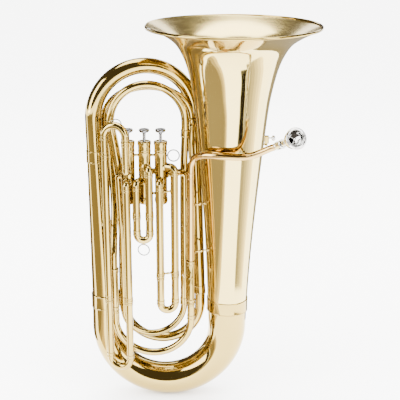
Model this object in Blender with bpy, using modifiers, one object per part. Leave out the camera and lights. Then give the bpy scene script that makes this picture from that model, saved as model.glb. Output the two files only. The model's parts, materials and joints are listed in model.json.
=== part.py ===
"""Three-valve upright concert tuba, top-action pistons, modelled as separate pieces.

Units: metres in Blender; every length below is in millimetres and goes through P().
Frame: +Z up, the bell points up, the player sits on the +X/-Y side, the valves are on -Y.
The origin is the centre of the bounding box in plan, on the lowest point of the bottom bow.
"""
import math
import bpy
import bmesh
from mathutils import Matrix, Vector

# ---------------------------------------------------------------- dimensions (mm)
SHIFT_X = -4.42          # puts the box centre on the origin in plan
SHIFT_Y = 12.94
SHIFT_Z = -1.32
GAP = 0.35               # clearance between touching pieces
WALL = 1.0               # tube wall

BELL_RIM_R = 189.0
BELL_TOP_Z = 866.0
BELL_LOW_Z = 230.2
BELL_AXIS_X0 = 62.5      # bell axis at BELL_LOW_Z
BELL_LEAN = 0.79         # degrees towards +X
BELL_PROFILE = (         # radius, height above the floor, rim downwards
    (182.0, 863.6), (172.0, 858.6), (158.0, 851.4), (143.5, 843.0), (130.0, 833.6),
    (119.3, 821.8), (110.6, 807.0), (103.0, 791.0), (94.8, 766.0),
    (86.2, 728.0), (79.4, 686.0), (70.8, 597.0), (61.0, 490.0), (50.6, 350.0), (45.0, 230.2))

BOW_C = (-77.5, 0.0, 177.0)      # centre of the big bottom bow
BOW_R = 140.0
LEFT_LOW = (-217.5, 0.0, 239.4)
LEFT_HIGH = (-229.5, 0.0, 581.4)
TOPBOW_C = (-122.8, 27.0, 666.0)
TOPBOW_U = (108.8, 27.0, 0.0)    # half the vector between the two legs
TOPBOW_H = 110.5
V2_TOP = (-14.0, 54.0, 650.0)
V2_LOW = (0.0, 19.0, 255.0)
BOW2_LEFT = (-178.0, 24.0)
T2_POINTS = ((-178.0, 24.0, 222.0), (-176.0, 15.0, 360.0), (-172.3, 3.0, 480.0),
             (-184.0, -3.5, 590.0), (-196.0, -5.0, 660.0))
A_TOP = (-31.8, -4.0, 660.0)
RISER = ((-37.0, 12.0, 224.2), (-37.0, 9.0, 450.0), (-35.5, 2.0, 560.0), (-31.8, -4.0, 640.0))

VALVE_XY = ((-84.5, -45.0), (-119.4, -45.0), (-154.2, -45.0))
CASE_R, CASE_BORE = 12.2, 11.3
CASE_LOW, CASE_HIGH = 494.0, 611.0
CAP_R = 14.6
CAP_TOP = 627.0
CAP_BOTTOM = 484.6
STROKE = 15.0
BUTTON_R = 11.2
BUTTON_LOW, BUTTON_TOP = 642.4, 653.6
PISTON_R = 10.6
PISTON_LOW, PISTON_HIGH = 531.0, 606.0
SPRING_LOW, SPRING_HIGH = 490.9, 530.6

SLEEVE_R, SLEEVE_WALL = 8.4, 0.8
LEG_R, CROOK_R = 6.95, 8.1
BEND = 9.8
V1_LEFT, V1_RIGHT = (-87.4, -70.0), (-55.2, -61.0)
V2_LEFT, V2_RIGHT = (-137.2, -70.0), (-109.4, -70.0)
V3_LEFT, V3_RIGHT = (-203.8, -56.0), (-158.4, -70.0)
TUNE_RIGHT, TUNE_LEFT = (-20.6, -42.0), (-192.6, -38.0)

MP_DIR = Vector((0.325, -0.864, 0.393)).normalized()
RECEIVER_END = Vector((169.0, -148.0, 648.0))

COL_BRASS = (0.83, 0.60, 0.24)
COL_SILVER = (0.82, 0.82, 0.80)
COL_STEEL = (0.62, 0.62, 0.60)
COL_PEARL = (0.86, 0.84, 0.80)
COL_CORK = (0.45, 0.30, 0.16)

# ---------------------------------------------------------------- scene set-up
for ob in list(bpy.data.objects):
    bpy.data.objects.remove(ob, do_unlink=True)
for old in list(bpy.data.collections):
    bpy.data.collections.remove(old)
TUBA = bpy.data.collections.new("tuba")
CUTTERS = bpy.data.collections.new("tuba_cutters")
bpy.context.scene.collection.children.link(TUBA)
bpy.context.scene.collection.children.link(CUTTERS)


def P(x, y=None, z=None):
    """Design millimetres to world metres."""
    v = Vector(x) if y is None else Vector((x, y, z))
    return Vector((v.x + SHIFT_X, v.y + SHIFT_Y, v.z + SHIFT_Z)) * 0.001


def bell_axis(z):
    return Vector((BELL_AXIS_X0 + (z - BELL_LOW_Z) * math.tan(math.radians(BELL_LEAN)), 0.0, z))


def material(name, colour, rough=0.12, metal=1.0):
    m = bpy.data.materials.new(name)
    m.use_nodes = True
    b = m.node_tree.nodes["Principled BSDF"]
    b.inputs["Base Color"].default_value = (*colour, 1.0)
    b.inputs["Roughness"].default_value = rough
    b.inputs["Metallic"].default_value = metal
    return m


def finish(ob, colour=COL_BRASS, rough=0.12, metal=1.0, origin=None):
    """Own material, smooth shading, and the origin on the piece's joint axis."""
    me = ob.data
    me.materials.clear()
    me.materials.append(material(ob.name + "_mat", colour, rough, metal))
    me.shade_smooth()
    me.set_sharp_from_angle(angle=math.radians(40))
    if origin is not None:
        o = P(origin)
        me.transform(Matrix.Translation(-o) @ ob.matrix_world)
        ob.matrix_world = Matrix.Translation(o)
    return ob


def mesh_of(ob, name, hollow_wall=None):
    """Turn a curve or an object with modifiers into a plain mesh object in TUBA."""
    bpy.context.view_layer.update()
    dg = bpy.context.evaluated_depsgraph_get()
    me = bpy.data.meshes.new_from_object(ob.evaluated_get(dg))
    bm = bmesh.new()
    bm.from_mesh(me)
    bmesh.ops.remove_doubles(bm, verts=bm.verts, dist=1e-6)
    bm.to_mesh(me)
    bm.free()
    new = bpy.data.objects.new(name, me)
    new.matrix_world = ob.matrix_world.copy()
    bpy.data.objects.remove(ob, do_unlink=True)
    new.name = me.name = name
    TUBA.objects.link(new)
    return new


def curve_object(points, radii, res, caps):
    cu = bpy.data.curves.new("path", "CURVE")
    cu.dimensions = "3D"
    cu.twist_mode = "MINIMUM"
    cu.use_fill_caps = caps
    cu.bevel_resolution = res
    base = max(radii)
    cu.bevel_depth = base * 0.001
    sp = cu.splines.new("POLY")
    sp.points.add(len(points) - 1)
    for i, (pt, r) in enumerate(zip(points, radii)):
        sp.points[i].co = (*P(pt), 1.0)
        sp.points[i].radius = r / base
    ob = bpy.data.objects.new("path", cu)
    bpy.context.scene.collection.objects.link(ob)
    return ob


def outward(me, pts):
    """Flip an open tube if its faces look at its own centreline."""
    f = me.polygons[len(me.polygons) // 2]
    c = f.center
    near = min((P(p) for p in pts), key=lambda q: (q - c).length)
    i = min(range(len(pts)), key=lambda k: (P(pts[k]) - c).length)
    j = min(i + 1, len(pts) - 1) if i + 1 < len(pts) else i
    a, b = P(pts[max(0, j - 1)]), P(pts[j])
    d = (b - a).normalized()
    radial = (c - near) - d * (c - near).dot(d)
    if radial.dot(f.normal) < 0:
        me.flip_normals()


def tube(name, points, radii, wall=WALL, res=4, colour=COL_BRASS, origin=None, rough=0.12):
    """Hollow tube with open ends along a centreline."""
    pts = [Vector(p) for p in points]
    if not hasattr(radii, "__len__"):
        radii = [radii] * len(pts)
    ob = mesh_of(curve_object(pts, radii, res, False), name)
    outward(ob.data, pts)
    mod = ob.modifiers.new("wall", "SOLIDIFY")
    mod.thickness = wall * 0.001
    mod.offset = -1.0
    mod.use_even_offset = False
    return finish(mesh_of(ob, name), colour, rough, 1.0, origin)


def rod(name, points, radius, res=2, colour=COL_BRASS, origin=None, rough=0.15):
    pts = [Vector(p) for p in points]
    ob = mesh_of(curve_object(pts, [radius] * len(pts), res, True), name)
    return finish(ob, colour, rough, 1.0, origin)


def turned(name, profile, at, axis=(0, 0, 1), steps=16, colour=COL_BRASS, origin=None,
           wall=None, closed=False, rough=0.12, metal=1.0):
    """A profile (radius, height), top to bottom on its outer side, turned about an axis."""
    me = bpy.data.meshes.new(name)
    bm = bmesh.new()
    vs = [bm.verts.new((r * 0.001, 0.0, h * 0.001)) for r, h in profile]
    for a, b in zip(vs, vs[1:]):
        bm.edges.new((a, b))
    if closed:
        bm.edges.new((vs[-1], vs[0]))
    bm.to_mesh(me)
    bm.free()
    ob = bpy.data.objects.new(name, me)
    TUBA.objects.link(ob)
    s = ob.modifiers.new("turn", "SCREW")
    s.steps = s.render_steps = steps
    s.use_merge_vertices = True
    s.merge_threshold = 0.00001
    s.use_smooth_shade = True
    if wall:
        so = ob.modifiers.new("wall", "SOLIDIFY")
        so.thickness = wall * 0.001
        so.offset = -1.0
        so.use_even_offset = True
    q = Vector((0, 0, 1)).rotation_difference(Vector(axis).normalized())
    ob.matrix_world = Matrix.Translation(P(at)) @ q.to_matrix().to_4x4()
    new = mesh_of(ob, name)
    new.data.transform(new.matrix_world)
    new.matrix_world = Matrix.Identity(4)
    return finish(new, colour, rough, metal, origin)


def ring_profile(r_in, r_out, low, high, bead=0.0):
    """Closed outline of a ring, outer side first, going down."""
    if bead:
        return ((r_out, high), (r_out + bead, high - bead), (r_out + bead, low + bead), (r_out, low),
                (r_in, low), (r_in, high))
    return ((r_out, high), (r_out, low), (r_in, low), (r_in, high))


def arc(c, u, w, a0, a1, n):
    c, u, w = Vector(c), Vector(u), Vector(w)
    return [c + u * math.cos(math.radians(a0 + (a1 - a0) * i / n)) +
            w * math.sin(math.radians(a0 + (a1 - a0) * i / n)) for i in range(n + 1)]


def smooth(points, per):
    """Catmull-Rom curve through the points, per steps a span."""
    p = [Vector(q) for q in points]
    p = [p[0] * 2 - p[1]] + p + [p[-1] * 2 - p[-2]]
    out = []
    for i in range(1, len(p) - 2):
        for k in range(per):
            t = k / per
            a, b, c, d = p[i - 1], p[i], p[i + 1], p[i + 2]
            out.append(0.5 * ((2 * b) + (c - a) * t + (2 * a - 5 * b + 4 * c - d) * t * t +
                              (3 * b - a - 3 * c + d) * t ** 3))
    out.append(p[-2])
    return out


def ramp(n, *vals):
    """n values running evenly through the given ones."""
    out = []
    for i in range(n):
        t = i / (n - 1) * (len(vals) - 1)
        k = min(int(t), len(vals) - 2)
        out.append(vals[k] + (vals[k + 1] - vals[k]) * (t - k))
    return out


def fillet(points, radius, n=4):
    """Round each inner corner of a polyline with an arc of about the given radius."""
    p = [Vector(q) for q in points]
    out = [p[0]]
    for a, b, c in zip(p, p[1:], p[2:]):
        d1, d2 = (a - b).normalized(), (c - b).normalized()
        ang = d1.angle(d2)
        t = min(radius / math.tan(ang / 2), (a - b).length * 0.499, (c - b).length * 0.499)
        r = t * math.tan(ang / 2)
        mid = (d1 + d2).normalized()
        cen = b + mid * (r / math.sin(ang / 2))
        s, e = b + d1 * t - cen, b + d2 * t - cen
        tot = s.angle(e)
        for k in range(n + 1):
            f = k / n
            out.append(cen + (s * math.sin((1 - f) * tot) + e * math.sin(f * tot)) / math.sin(tot))
    out.append(p[-1])
    return out


def primitive_cylinder(name, a, b, r, sides=12):
    a, b = P(a), P(b)
    bpy.ops.mesh.primitive_cylinder_add(vertices=sides, radius=r * 0.001, depth=(b - a).length)
    ob = bpy.context.object
    ob.name = name
    for c in list(ob.users_collection):
        c.objects.unlink(ob)
    TUBA.objects.link(ob)
    q = Vector((0, 0, 1)).rotation_difference((b - a).normalized())
    ob.matrix_world = Matrix.Translation((a + b) / 2) @ q.to_matrix().to_4x4()
    return ob


def boolean(ob, other, op):
    for c in list(other.users_collection):
        c.objects.unlink(other)
    CUTTERS.objects.link(other)
    other.hide_render = True
    other.display_type = "WIRE"
    m = ob.modifiers.new("cut", "BOOLEAN")
    m.operation = op
    m.object = other
    m.solver = "EXACT"


# ---------------------------------------------------------------- bell, bottom bow, big branches
lean = Vector((math.tan(math.radians(BELL_LEAN)), 0.0, 1.0))
turned("bell", [(r, z - BELL_LOW_Z) for r, z in BELL_PROFILE], (BELL_AXIS_X0, 0, BELL_LOW_Z),
       lean, steps=24, wall=1.0)
turned("bell_rim_wire", ring_profile(182.8, 187.6, -2.8, 3.4, 1.4), bell_axis(864.2), (0, 0, 1),
       steps=24, closed=True)
turned("bell_ferrule", ring_profile(46.6, 48.6, -15.0, 15.0), bell_axis(230.0), lean, steps=24,
       closed=True)

bow = ([Vector((62.5, 0.0, BELL_LOW_Z - 1.2)), Vector((62.5, 0, 205))] +
       arc(BOW_C, (BOW_R, 0, 0), (0, 0, -BOW_R), 0, 180, 11) +
       [Vector((-217.5, 0, 210)), Vector((-217.5, 0, LEFT_LOW[2] - 1.8))])
tube("bottom_bow", bow, [44.4, 44.1] + ramp(12, 43.4, 36.9, 31.0) + [30.5, 30.2], wall=1.2, res=6)
turned("left_bow_ferrule", ring_profile(31.4, 33.3, -16.5, 16.5), (-217.5, 0, 239.4), steps=20,
       closed=True)
tube("first_branch", [Vector(LEFT_LOW).lerp(Vector(LEFT_HIGH), t / 2) for t in range(3)],
     ramp(3, 30.0, 24.3, 19.0), wall=1.0, res=5)
turned("top_bow_ferrule", ring_profile(20.2, 21.9, -13.4, 13.4), (-229.5, 0, 581.6), steps=18,
       closed=True)
top = ([Vector((-229.5, 0, 581.4 + GAP)), Vector((-230.8, 0, 630))] +
       arc(TOPBOW_C, TOPBOW_U, (0, 0, TOPBOW_H), 180, 0, 11) + [Vector((-14.0, 54.0, 652.4))])
tube("top_bow", top, [19.0, 18.7] + ramp(12, 18.3, 17.2, 15.8) + [15.7], wall=1.0, res=4)
tube("second_branch", [Vector(V2_TOP).lerp(Vector(V2_LOW), t / 3) for t in range(4)],
     ramp(4, 15.7, 14.4, 13.0, 11.7), res=4)
bow2_c = ((BOW2_LEFT[0] + V2_LOW[0]) / 2, 21.5, 221.0)
bow2_u = ((V2_LOW[0] - BOW2_LEFT[0]) / 2, -2.5, 0)
t2 = smooth(T2_POINTS, 2)
tube("third_branch", [Vector((0, 19.0, 253.0))] + arc(bow2_c, bow2_u, (0, 0, -89.5), 0, 172, 8) + t2[1:],
     [11.7] + ramp(8 + len(t2), 11.5, 9.2), res=2)
inner_c = ((-196.0 - 31.8) / 2, -4.5, 660.0)
ris = smooth(RISER, 2)
tube("fourth_branch", [Vector((-196.0, -5, 664.0))] +
     arc(inner_c, (82.1, 0.5, 0), (0, 0, 81.5), 168, 4, 8) + ris[::-1],
     [9.2] + ramp(9 + len(ris), 9.2, 7.9), res=2)
b1_c = ((-174.0 - 37.0) / 2, -2.0, 222.0 - GAP)
v3x, v3y = VALVE_XY[2]
d = Vector((-0.86, 0.51, 0)).normalized()
s0 = Vector((v3x, v3y, 548.0)) + d * 15.4
ex = fillet([s0, s0 + d * 13.5, Vector((-176.2, -31.0, 470.0)), Vector((-173.6, -27.0, 400.0)),
             Vector((-174.0, -17.0, 260.0))], 12.0, 3)
tube("valve_exit_branch", ex[:-1] + [Vector((-174.0, -17.0, 262.0))] +
     arc(b1_c, (-68.5, -14.0, 0), (0, 0, -67.5), 0, 180, 7), 7.6, res=2)

# ---------------------------------------------------------------- entry side: leadpipe, tuning slide, first loop
rec0 = RECEIVER_END - MP_DIR * 30.0
lead = smooth([rec0, rec0 - MP_DIR * 9.0, (143.0, -109.5, 626.5), (126.0, -103.5, 617.0), (108.0, -99.0, 609.0),
               (83.2, -92.0, 604.0), (44.3, -84.5, 604.0), (12.7, -70.0, 602.0), (-7.5, -53.0, 594.0),
               (-17.5, -44.5, 580.0), (-20.6, -42.0, 560.0)], 1) + [Vector((-20.6, -42.0, 350.0 + GAP))]
lead_r = ramp(len(lead) - 1, 6.9, 7.3, 7.8) + [7.9]
tube("leadpipe", lead, lead_r, res=3)
turned("mouthpiece_receiver", ring_profile(7.35, 8.8, 0.0, 29.0, 0.9), rec0 + MP_DIR * 1.0, MP_DIR, steps=12,
       closed=True, colour=COL_SILVER)
turned("tuning_sleeve_right", ring_profile(8.15, 8.95, 248.0, 350.0), (*TUNE_RIGHT, 0), steps=12, closed=True)
turned("tuning_sleeve_left", ring_profile(8.15, 8.95, 228.0, 330.0), (*TUNE_LEFT, 0), steps=12, closed=True)
tc = ((TUNE_RIGHT[0] + TUNE_LEFT[0]) / 2, -40.0, 209.5)
tu = ((TUNE_RIGHT[0] - TUNE_LEFT[0]) / 2, -2.0, 0)
tune = ([Vector((*TUNE_RIGHT, 334.0)), Vector((*TUNE_RIGHT, 247.4)), Vector((*TUNE_RIGHT, 246.8))] +
        arc(tc, tu, (0, 0, -86.0), 0, 180, 8) +
        [Vector((*TUNE_LEFT, 226.8)), Vector((*TUNE_LEFT, 227.4)), Vector((*TUNE_LEFT, 318.0))])
tube("tuning_slide", tune, [7.45, 7.45] + [8.2] * 11 + [7.45, 7.45], res=3, origin=(*TUNE_RIGHT, 248.0))
T1 = smooth([(-192.6, -38.0, 330.0 + GAP), (-192.4, -36.0, 365.0), (-191.6, -22.0, 415.0), (-191.4, -2.0, 480.0),
             (-199.0, 13.5, 570.0), (-209.5, 18.5, 650.0)], 2)
mid_c = ((-209.5 - 19.0) / 2, 23.5, 662.0)
tube("entry_branch", T1[:-1] + arc(mid_c, (-95.25, -5.0, 0), (0, -2.0, 70.0), 0, 180, 9), 7.7, res=2)
v1x, v1y = VALVE_XY[0]
d = Vector((0.895, 0.445, 0)).normalized()
s0 = Vector((v1x, v1y, 552.0)) + d * 15.4
v0 = Vector((-34.2, -20.4, 0))
back = Vector((-15.5, -1.0, 0))
ub = (v0 + back) / 2 + Vector((0, 0, 316.0))
uu = (back - v0) / 2
ret = smooth([(-19.0, 28.4, 658.6), (-19.0, 22.0, 600.0), (-14.5, 10.0, 470.0), (-15.5, 0.0, 360.0)], 2)
ret += arc(ub, uu, (0, 0, -13.6), 0, 180, 6)
ret += fillet([Vector((v0.x, v0.y, 320.0)), Vector((v0.x, v0.y, 552.0)), s0], 12.0, 4)
tube("entry_return", ret, 7.5, res=2)

# ---------------------------------------------------------------- valves
PORTS = {   # direction in plan from the valve's axis, height of each port
    0: (((0.895, 0.445), 552.0), ((V1_RIGHT[0] - v1x, V1_RIGHT[1] - v1y), 572.0),
        ((V1_LEFT[0] - v1x, V1_LEFT[1] - v1y), 541.0), ((-1, 0), 560.0)),
    1: (((1, 0), 560.0), ((V2_RIGHT[0] - VALVE_XY[1][0], V2_RIGHT[1] - VALVE_XY[1][1]), 571.0),
        ((V2_LEFT[0] - VALVE_XY[1][0], V2_LEFT[1] - VALVE_XY[1][1]), 541.0), ((-1, 0), 530.0)),
    2: (((1, 0), 530.0), ((V3_RIGHT[0] - v3x, V3_RIGHT[1] - v3y), 563.0),
        ((V3_RIGHT[0] - v3x, V3_RIGHT[1] - v3y), 538.0), ((-0.86, 0.51), 548.0)),
}
for i, (vx, vy) in enumerate(VALVE_XY):
    n = str(i + 1)
    case = primitive_cylinder("valve_casing_" + n, (vx, vy, CASE_LOW), (vx, vy, CASE_HIGH), CASE_R, 16)
    cut = []
    for dxy, z in PORTS[i]:
        dd = Vector((*dxy, 0)).normalized()
        beside = abs(dd.x) > 0.99
        r = 6.6 if beside else 8.4
        reach = 17.2 if beside else 15.0
        c = Vector((vx, vy, z))
        boolean(case, primitive_cylinder("port", c + dd * 4.0, c + dd * reach, r, 10), "UNION")
        cut.append((c + dd * 3.0, c + dd * (reach + 2.0), r - 1.4))
    boolean(case, primitive_cylinder("bore", (vx, vy, CASE_LOW - 5), (vx, vy, CASE_HIGH + 5), CASE_BORE, 16),
            "DIFFERENCE")
    for a, b, r in cut:
        boolean(case, primitive_cylinder("hole", a, b, r, 6), "DIFFERENCE")
    name = case.name
    case = mesh_of(case, "tmp")
    case.name = name
    case.data.transform(case.matrix_world)
    case.matrix_world = Matrix.Identity(4)
    finish(case)
    top_cap = ((4.0, CAP_TOP), (12.6, CAP_TOP), (CAP_R, CAP_TOP - 1.6), (CAP_R, 603.4), (12.7, 603.4),
               (12.7, CASE_HIGH + GAP), (4.0, CASE_HIGH + GAP))
    turned("top_cap_" + n, top_cap, (vx, vy, 0), steps=14, closed=True)
    bot_cap = ((0.0, 490.2), (12.8, 490.2), (12.8, 501.0), (CAP_R, 501.0),
               (CAP_R, 489.0), (12.0, 486.4), (3.0, CAP_BOTTOM), (0.0, CAP_BOTTOM))
    turned("bottom_cap_" + n, bot_cap, (vx, vy, 0), steps=14)
    piston = ((0.0, BUTTON_LOW - GAP), (2.6, BUTTON_LOW - GAP), (2.6, PISTON_HIGH + 2.0), (6.0, PISTON_HIGH),
              (PISTON_R, PISTON_HIGH - 1.0), (PISTON_R, PISTON_LOW), (0.0, PISTON_LOW))
    turned("piston_" + n, [(r, z - PISTON_LOW) for r, z in piston], (vx, vy, PISTON_LOW), steps=12,
           colour=COL_SILVER, origin=(vx, vy, PISTON_LOW), rough=0.2)
    button = ((0.0, BUTTON_TOP - 0.6), (8.6, BUTTON_TOP - 0.6), (9.2, BUTTON_TOP), (BUTTON_R, BUTTON_TOP - 1.4),
              (BUTTON_R, BUTTON_TOP - 4.2), (8.4, BUTTON_TOP - 7.0), (4.0, BUTTON_TOP - 8.4), (3.6, BUTTON_LOW),
              (0.0, BUTTON_LOW))
    turned("finger_button_" + n, [(r, z - BUTTON_LOW) for r, z in button], (vx, vy, BUTTON_LOW), steps=12,
           colour=COL_SILVER, origin=(vx, vy, BUTTON_LOW), rough=0.15)
    turns, per = 4, 6
    coil = [Vector((vx + 7.6 * math.cos(2 * math.pi * k / per), vy + 7.6 * math.sin(2 * math.pi * k / per),
                    SPRING_LOW + 0.9 + (SPRING_HIGH - SPRING_LOW - 1.8) * k / (turns * per)))
            for k in range(turns * per + 1)]
    rod("piston_spring_" + n, coil, 0.75, res=1, colour=COL_STEEL, origin=(vx, vy, SPRING_LOW))


def leg_sleeve(name, case_xy, leg_xy, z_port, z_end):
    """Outer slide sleeve: out of a valve's port, round a tight bend, then straight."""
    c, g = Vector((*case_xy, z_port)), Vector((*leg_xy, z_port))
    dd = (g - c).normalized()
    pts = fillet([c + dd * 15.3, g, Vector((*leg_xy, z_end))], BEND, 3)
    return tube(name, pts, SLEEVE_R, wall=SLEEVE_WALL, res=3)


def crook(name, left, right, z_top_l, z_end_l, z_top_r, z_end_r, z_bend, sign=-1, n=6):
    """U slide: thin legs inside the sleeves, full-size crook outside them."""
    c = ((left[0] + right[0]) / 2, (left[1] + right[1]) / 2, z_bend)
    u = ((left[0] - right[0]) / 2, (left[1] - right[1]) / 2, 0)
    rad = Vector(u).length
    s = sign
    pts = [Vector((*left, z_top_l)), Vector((*left, z_end_l + s * 0.4)), Vector((*left, z_end_l + s * 1.0))]
    pts += arc(c, u, (0, 0, s * rad), 0, 180, n)
    pts += [Vector((*right, z_end_r + s * 1.0)), Vector((*right, z_end_r + s * 0.4)), Vector((*right, z_top_r))]
    rr = [LEG_R, LEG_R] + [CROOK_R] * (n + 3) + [LEG_R, LEG_R]
    return tube(name, pts, rr, wall=0.8, res=3, origin=(*left, z_end_l))


leg_sleeve("valve1_sleeve_left", VALVE_XY[0], V1_LEFT, 541.0, 322.0)
leg_sleeve("valve1_sleeve_right", VALVE_XY[0], V1_RIGHT, 572.0, 322.0)
crook("valve1_slide", V1_LEFT, V1_RIGHT, 400.0, 322.0, 400.0, 322.0, 258.3)
leg_sleeve("valve2_sleeve_left", VALVE_XY[1], V2_LEFT, 541.0, 462.0)
leg_sleeve("valve2_sleeve_right", VALVE_XY[1], V2_RIGHT, 571.0, 462.0)
crook("valve2_slide", V2_LEFT, V2_RIGHT, 526.0, 462.0, 526.0, 462.0, 423.7)
leg_sleeve("valve3_sleeve_upper", VALVE_XY[2], V3_RIGHT, 563.0, 632.0)
leg_sleeve("valve3_sleeve_lower", VALVE_XY[2], V3_RIGHT, 538.0, 262.0)
tube("valve3_long_leg", [(*V3_LEFT, 262.0), (*V3_LEFT, 600.0)], SLEEVE_R, wall=SLEEVE_WALL, res=3)
crook("valve3_slide", V3_LEFT, V3_RIGHT, 340.0, 262.0, 340.0, 262.0, 123.0)
crook("valve3_top_slide", V3_LEFT, V3_RIGHT, 560.0, 600.0, 592.0, 632.0, 641.4, sign=1)

# ---------------------------------------------------------------- mouthpiece
mp = ((0.0, 66.0), (5.0, 66.5), (11.0, 72.0), (14.6, 80.0), (16.2, 89.0), (16.9, 93.0), (19.0, 94.6),
      (21.6, 93.4), (22.4, 90.4), (21.0, 87.6), (19.6, 82.0), (18.4, 73.0), (14.5, 64.6), (9.6, 59.0),
      (7.2, 53.0), (6.6, 46.0), (6.9, 30.6), (6.6, 28.0), (5.9, 0.0), (0.0, 0.0))
turned("mouthpiece", mp, RECEIVER_END - MP_DIR * 28.4, MP_DIR, steps=12, colour=COL_SILVER,
       origin=RECEIVER_END, rough=0.08)


def torus(name, c, major, minor, axis, colour=COL_SILVER, origin=None, seg=16):
    bpy.ops.mesh.primitive_torus_add(major_segments=seg, minor_segments=6, major_radius=major * 0.001,
                                     minor_radius=minor * 0.001)
    ob = bpy.context.object
    ob.name = name
    for col in list(ob.users_collection):
        col.objects.unlink(ob)
    TUBA.objects.link(ob)
    q = Vector((0, 0, 1)).rotation_difference(Vector(axis).normalized())
    ob.data.transform(Matrix.Translation(P(c)) @ q.to_matrix().to_4x4())
    ob.matrix_world = Matrix.Identity(4)
    return finish(ob, colour, 0.12, 1.0, origin)


torus("thumb_ring", (-56.9, -48.0, 595.6), 12.3, 1.2, (0.0, 1.0, 0.0))
torus("valve2_pull_ring", ((V2_LEFT[0] + V2_RIGHT[0]) / 2, -70.0, 387.4), 12.5, 1.1, (0.15, 1.0, 0.0),
      origin=(*V2_LEFT, 462.0))
torus("valve3_pull_ring", ((V3_LEFT[0] + V3_RIGHT[0]) / 2 + 3.0, -49.5, 664.5), 11.0, 1.1, (0.1, 1.0, 0.0),
      origin=(*V3_LEFT, 600.0), seg=16)


# ---------------------------------------------------------------- braces and small fittings
def brace(name, a, ra, b, rb, mid=3.4, thin=1.7, foot=4.6):
    """Turned baluster between two round tubes; ra and rb are their outer radii."""
    a, b = Vector(a), Vector(b)
    dd = (b - a).normalized()
    s, e = a + dd * (ra + GAP), b - dd * (rb + GAP)
    length = (e - s).length
    h = length
    prof = ((0.0, h), (foot, h), (foot, h - 1.2), (thin, h - 3.0), (thin, h * 0.5 + mid), (mid, h * 0.5),
            (thin, h * 0.5 - mid), (thin, 3.0), (foot, 1.2), (foot, 0.0), (0.0, 0.0))
    return turned(name, prof, s, dd, steps=8)


def bell_r(z):
    for (r1, z1), (r2, z2) in zip(BELL_PROFILE, BELL_PROFILE[1:]):
        if z2 <= z <= z1:
            return r2 + (r1 - r2) * (z - z2) / (z1 - z2)
    return BELL_PROFILE[-1][0]


brace("bell_brace_upper", bell_axis(481.0), bell_r(481.0) + 0.4, (*TUNE_RIGHT, 481.0), 8.1)
brace("bell_brace_lower", bell_axis(370.0), bell_r(370.0) + 0.4, (*TUNE_RIGHT, 370.0), 8.1)
brace("leadpipe_brace", bell_axis(608.0), bell_r(608.0) + 0.4, (104.0, -97.5, 608.0), 11.0, foot=3.8)
brace("left_branch_brace", Vector(LEFT_LOW).lerp(Vector(LEFT_HIGH), 0.56), 24.2, (*V3_LEFT, 431.0), 8.6)
brace("valve1_brace_lower", (*V1_LEFT, 330.0), 8.5, (*V1_RIGHT, 330.0), 8.5, 2.6, 1.6, 3.6)

tx, ty = TUNE_RIGHT
key_z = 314.0
key = primitive_cylinder("water_key", (tx, ty - 9.5, 299.0), (tx, ty - 14.6, 299.0), 3.0, 10)
bpy.ops.mesh.primitive_cube_add(size=1.0)
lever = bpy.context.object
lever.matrix_world = Matrix.Translation(P(tx, ty - 14.6, 311.5)) @ Matrix.Diagonal((0.0042, 0.0026, 0.031, 1.0))
boolean(key, lever, "UNION")
key = mesh_of(key, "tmp")
key.name = "water_key"
key.data.transform(key.matrix_world)
key.matrix_world = Matrix.Identity(4)
finish(key, COL_BRASS, 0.15, 1.0, (tx, ty - 14.6, key_z))
bpy.ops.mesh.primitive_cube_add(size=1.0)
post = bpy.context.object
post.matrix_world = Matrix.Translation(P(tx, ty - 10.7, key_z)) @ Matrix.Diagonal((0.005, 0.0045, 0.0026, 1.0))
sleeve = bpy.data.objects["tuning_sleeve_right"]
boolean(sleeve, post, "UNION")
sleeve.name = "sleeve_tmp"
sleeve = mesh_of(sleeve, "tuning_sleeve_right")
finish(sleeve)

lyre_at = Vector((138.0, -108.0, 646.5))
bpy.ops.mesh.primitive_cube_add(size=1.0)
ly = bpy.context.object
ly.name = "lyre_holder"
for col in list(ly.users_collection):
    col.objects.unlink(ly)
TUBA.objects.link(ly)
ly.data.transform(Matrix.Translation(P(lyre_at)) @ Matrix.Diagonal((0.009, 0.009, 0.016, 1.0)))
finish(ly)
screw = ((0.0, 13.0), (3.0, 13.0), (5.4, 11.0), (5.4, 6.4), (3.0, 5.0), (1.6, 4.6), (1.6, 0.0), (0.0, 0.0))
turned("lyre_thumbscrew", screw, lyre_at + Vector((4.5 + GAP, 0, 3.0)), (1, 0, 0), steps=10,
       origin=lyre_at + Vector((4.5 + GAP, 0, 3.0)))
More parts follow.
